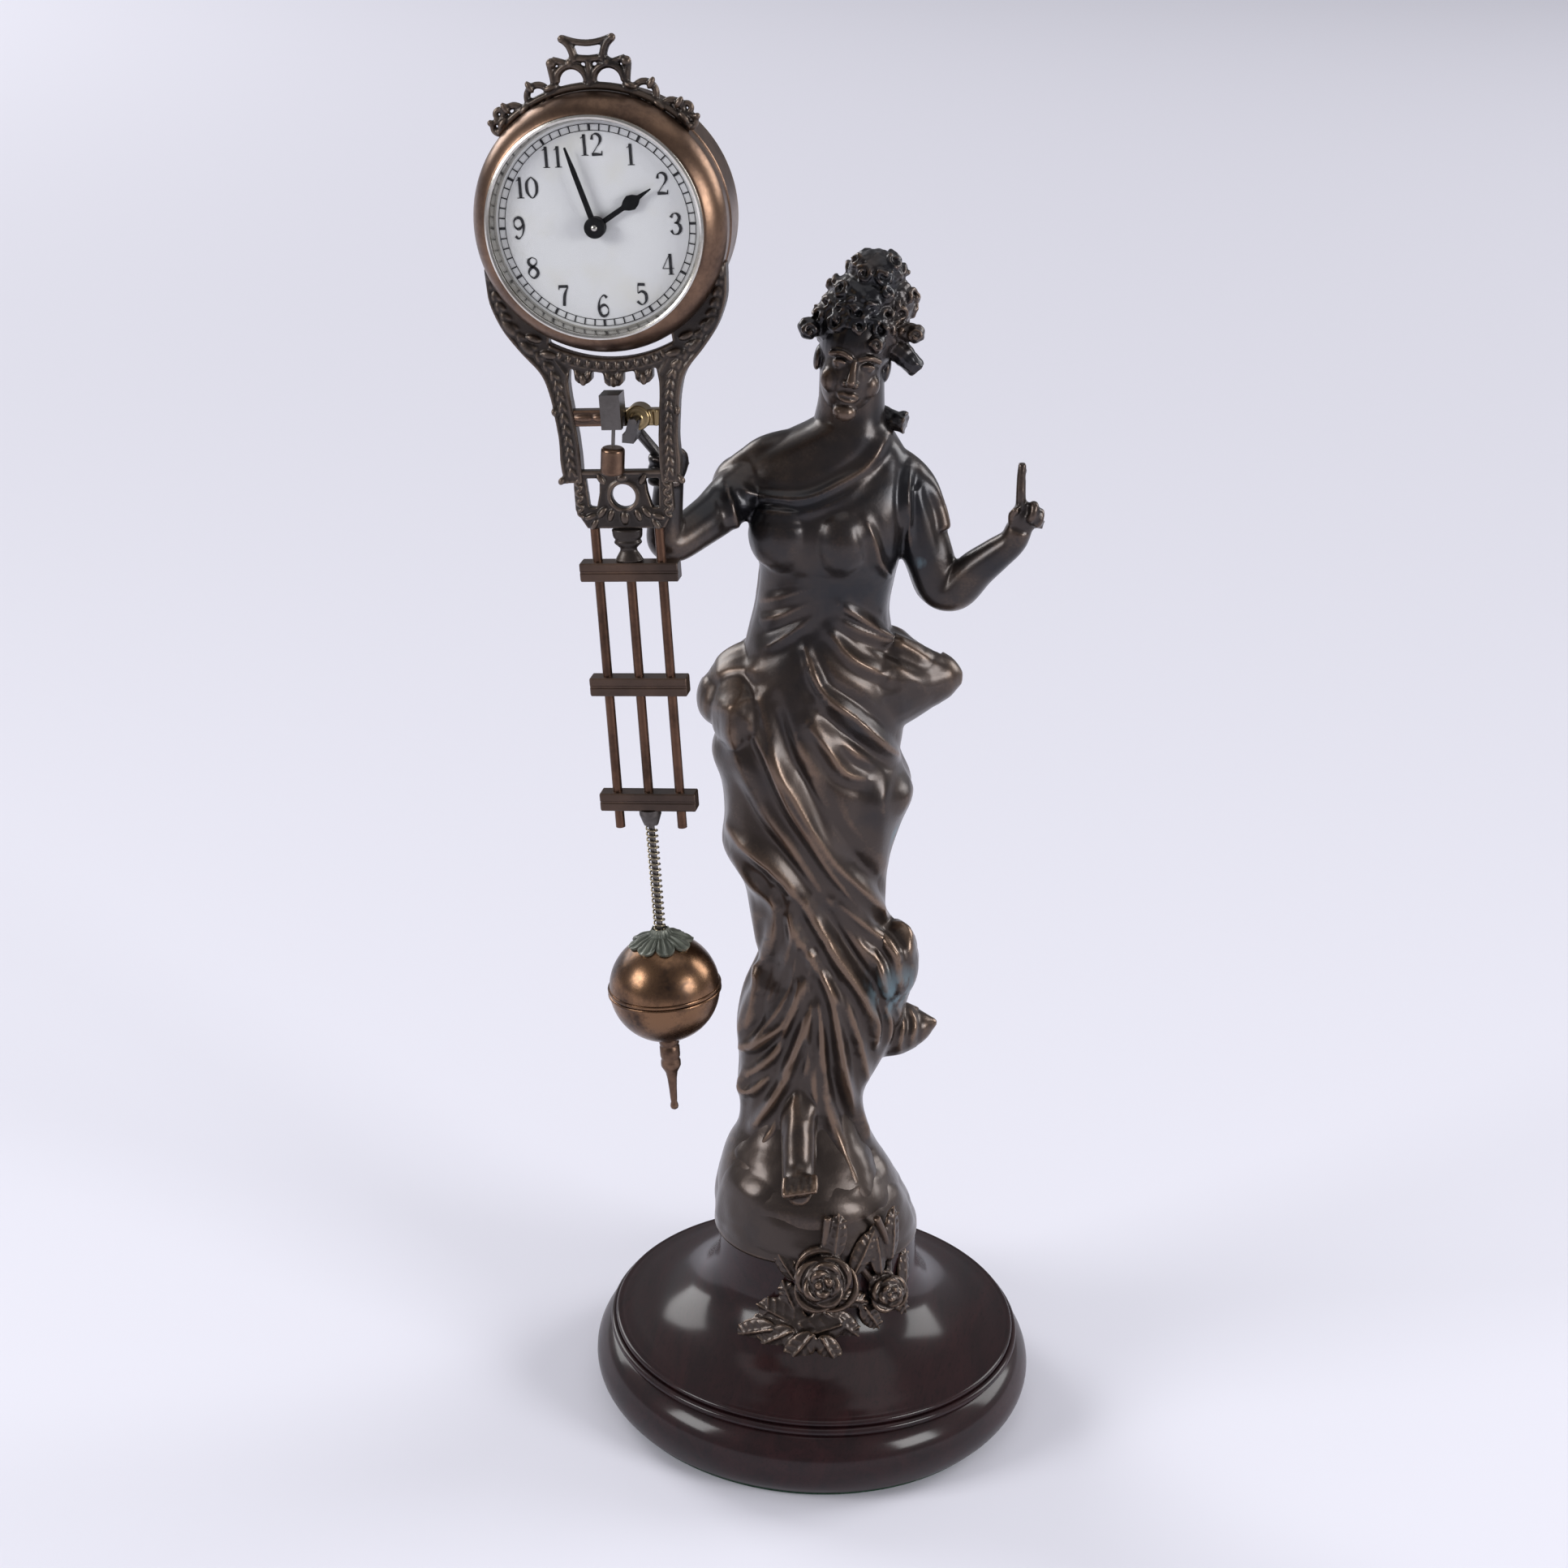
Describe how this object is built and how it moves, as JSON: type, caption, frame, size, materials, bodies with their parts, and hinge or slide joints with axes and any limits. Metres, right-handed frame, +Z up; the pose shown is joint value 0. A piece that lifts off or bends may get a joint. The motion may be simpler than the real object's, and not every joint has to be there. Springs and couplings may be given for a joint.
{
  "type": "mystery clock",
  "caption": "Bronze figure on a turned wooden base that carries a fork, on which a clock with a lyre frame, gridiron and ball bob swings as its own pendulum.",
  "frame": {"origin": "centre of the felt sole on the ground, under the wooden base", "axes": "+Z up through the base, -Y towards the viewer of the dial, +X to the viewer's right; the clock swings about +Y"},
  "size_m": [0.1505, 0.122, 0.3773],
  "materials": {
    "mahogany": "gloss",
    "felt": "matte",
    "statue_bronze": "satin",
    "fork_steel": "satin",
    "frame_bronze": "satin",
    "copper_brown": "satin",
    "yellow_brass": "satin",
    "verdigris_brass": "matte",
    "steel": "satin",
    "spring_steel": "satin",
    "white_enamel": "gloss",
    "black_steel": "gloss",
    "clear_glass": "gloss"
  },
  "bodies": {
    "stand": {"wood_base": "mahogany", "base_felt": "felt", "base_washer": "steel", "base_nut": "steel", "base_bolt": "steel", "rock_mound": "statue_bronze", "figure_body": "statue_bronze", "head": "statue_bronze", "hair": "statue_bronze", "raised_arm": "statue_bronze", "carrying_arm": "statue_bronze", "rose_spray": "statue_bronze", "support_fork": "fork_steel"},
    "swinger": {"lyre_frame": "frame_bronze", "crest": "frame_bronze", "crossbar": "copper_brown", "pivot_pin": "steel", "suspension_block": "steel", "lower_bracket": "frame_bronze", "drop_finial": "copper_brown", "gridiron_rods": "copper_brown", "top_bar": "copper_brown", "middle_bar": "copper_brown", "bottom_bar": "copper_brown", "rating_rod": "steel", "rating_spring": "spring_steel", "case_drum": "copper_brown", "back_cover": "yellow_brass", "bezel": "copper_brown", "glass": "clear_glass", "sight_ring": "yellow_brass", "dial": "white_enamel", "front_plate": "yellow_brass", "back_plate": "yellow_brass", "plate_pillars": "yellow_brass"},
    "inner_pendulum": {"inner_rod": "steel", "inner_bob": "copper_brown"},
    "bob": {"bob_upper": "copper_brown", "bob_lower": "copper_brown", "leaf_cap": "verdigris_brass"},
    "nut": {"rating_nut": "copper_brown"},
    "minute": {"centre_arbor": "steel", "cannon_pinion": "yellow_brass", "minute_hand": "black_steel", "hand_nut": "black_steel", "set_knob": "yellow_brass"},
    "hour": {"hour_wheel": "yellow_brass", "hour_hand": "black_steel"},
    "motion": {"minute_wheel": "yellow_brass"},
    "centre": {"centre_pinion": "yellow_brass", "centre_wheel": "yellow_brass"},
    "third": {"third_arbor": "steel", "third_wheel": "yellow_brass"},
    "escape": {"escape_arbor": "steel", "escape_wheel": "yellow_brass"},
    "anchor": {"anchor": "steel"},
    "barrel": {"barrel": "yellow_brass", "mainspring": "spring_steel"},
    "winding": {"barrel_arbor": "steel", "winding_key": "yellow_brass"}
  },
  "joints": [
    {"name": "clock_swing", "type": "hinge", "parent": "stand", "child": "swinger", "pos_m": [-0.04889, -0.03812, 0.28795], "axis": [0, 1, 0], "range_deg": [-6, 6]},
    {"name": "inner_swing", "type": "hinge", "parent": "swinger", "child": "inner_pendulum", "pos_m": [-0.0541, -0.04262, 0.2874], "axis": [0, 1, 0], "range_deg": [-4, 4]},
    {"name": "anchor_rock", "type": "hinge", "parent": "swinger", "child": "anchor", "pos_m": [-0.04206, -0.03812, 0.3361], "axis": [0, 1, 0], "range_deg": [-4, 4]},
    {"name": "minute_turn", "type": "hinge", "parent": "swinger", "child": "minute", "pos_m": [-0.05897, -0.03812, 0.33375], "axis": [0, 1, 0], "continuous": true},
    {"name": "hour_turn", "type": "hinge", "parent": "swinger", "child": "hour", "pos_m": [-0.05897, -0.03812, 0.33375], "axis": [0, 1, 0], "continuous": true},
    {"name": "motion_turn", "type": "hinge", "parent": "swinger", "child": "motion", "pos_m": [-0.05803, -0.03812, 0.3248], "axis": [0, 1, 0], "continuous": true},
    {"name": "third_turn", "type": "hinge", "parent": "swinger", "child": "third", "pos_m": [-0.05348, -0.03812, 0.34608], "axis": [0, 1, 0], "continuous": true},
    {"name": "centre_turn", "type": "hinge", "parent": "swinger", "child": "centre", "pos_m": [-0.05897, -0.03812, 0.33375], "axis": [0, 1, 0], "continuous": true},
    {"name": "barrel_turn", "type": "hinge", "parent": "swinger", "child": "barrel", "pos_m": [-0.06943, -0.03812, 0.32465], "axis": [0, 1, 0], "continuous": true},
    {"name": "escape_turn", "type": "hinge", "parent": "swinger", "child": "escape", "pos_m": [-0.04475, -0.03812, 0.3439], "axis": [0, 1, 0], "continuous": true},
    {"name": "key_turn", "type": "hinge", "parent": "swinger", "child": "winding", "pos_m": [-0.06943, -0.03812, 0.32465], "axis": [0, 1, 0], "continuous": true},
    {"name": "bob_slide", "type": "slide", "parent": "swinger", "child": "bob", "axis": [-0.1045, 0, 0.9945], "range_m": [-0.0032, 0.0032], "deforming": ["rating_spring"]},
    {"name": "nut_turn", "type": "hinge", "parent": "bob", "child": "nut", "pos_m": [-0.03685, -0.03812, 0.12331], "axis": [-0.1045, 0, 0.9945], "range_deg": [-1441, 1441]}
  ],
  "couplings": [
    {"joint": "anchor_rock", "follows": "inner_swing", "ratio": 1},
    {"joint": "hour_turn", "follows": "minute_turn", "ratio": 0.083333},
    {"joint": "motion_turn", "follows": "minute_turn", "ratio": -0.33333},
    {"joint": "centre_turn", "follows": "third_turn", "ratio": -0.125},
    {"joint": "barrel_turn", "follows": "third_turn", "ratio": 0.020833},
    {"joint": "escape_turn", "follows": "third_turn", "ratio": -8},
    {"joint": "nut_turn", "follows": "bob_slide", "rad_per_m": 7854}
  ]
}
